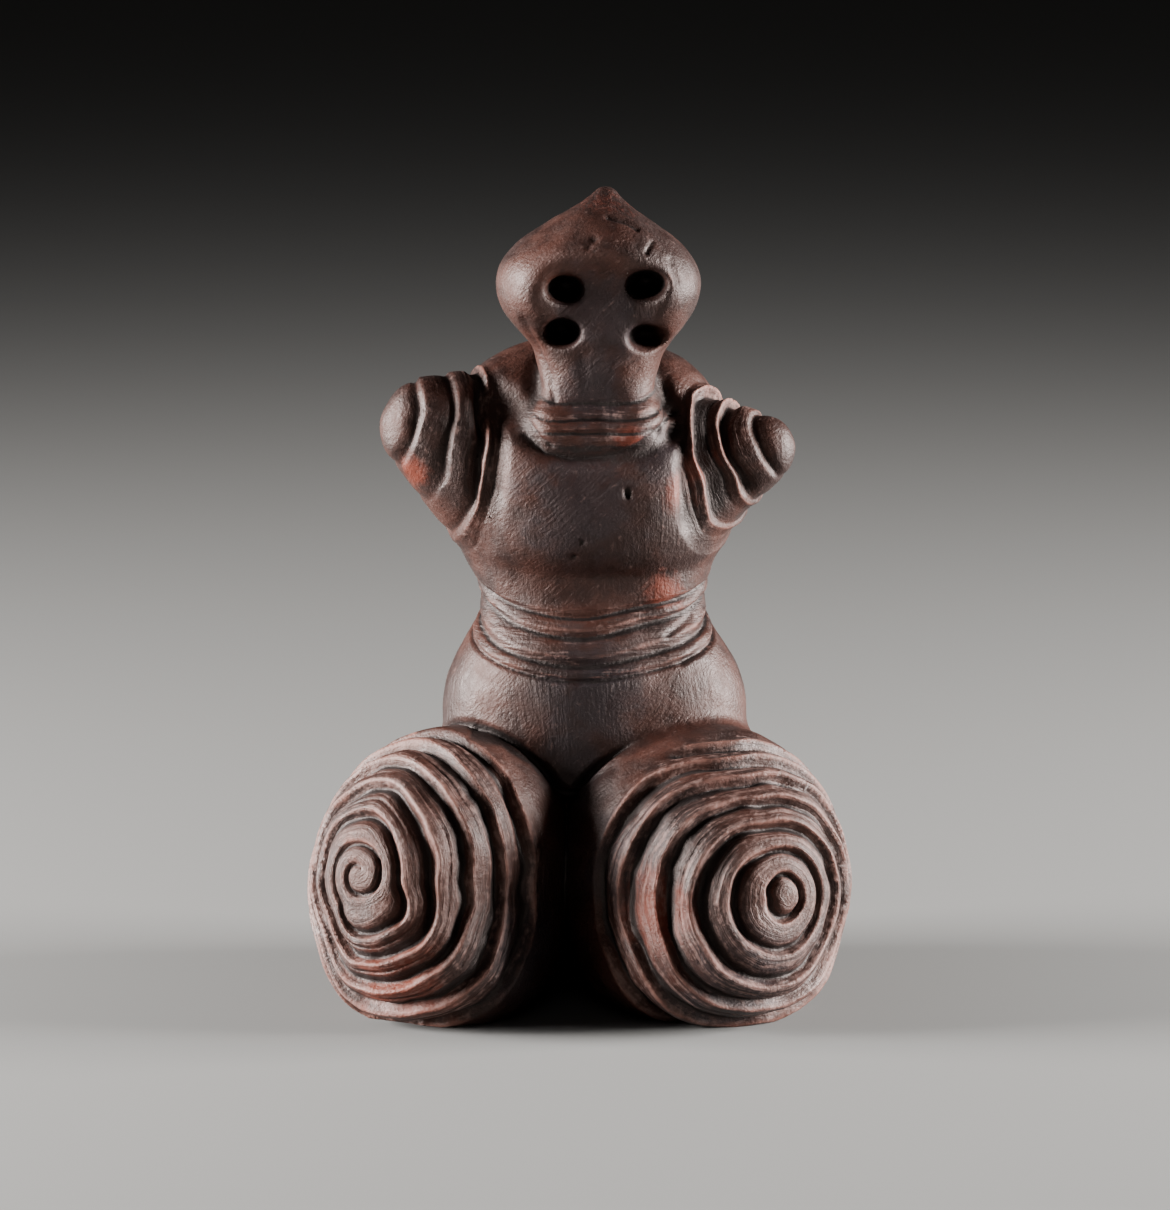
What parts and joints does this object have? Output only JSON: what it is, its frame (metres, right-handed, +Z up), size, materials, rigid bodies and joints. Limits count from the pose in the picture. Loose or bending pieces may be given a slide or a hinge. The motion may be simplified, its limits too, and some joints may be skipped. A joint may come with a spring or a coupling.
{
  "type": "mother goddess figurine",
  "caption": "Small seated fired-clay figure with spiral-carved thighs and arm stumps, ringed waist and neck, and a pointed head with poked holes, resting on its flat underside.",
  "frame": {"origin": "middle of the footprint's box, on the ground under the flat underside", "axes": "+Z up; -Y to the figure's front, so the viewer of the front looks along +Y; +X to that viewer's right"},
  "size_m": [0.0984, 0.0788, 0.1478],
  "materials": {
    "fired_clay": "dark brown hand-burnished fired clay, near black in the grooves, with rust-red wear on the ridges"
  },
  "bodies": {
    "root": {"figurine": "fired_clay"}
  },
  "joints": []
}
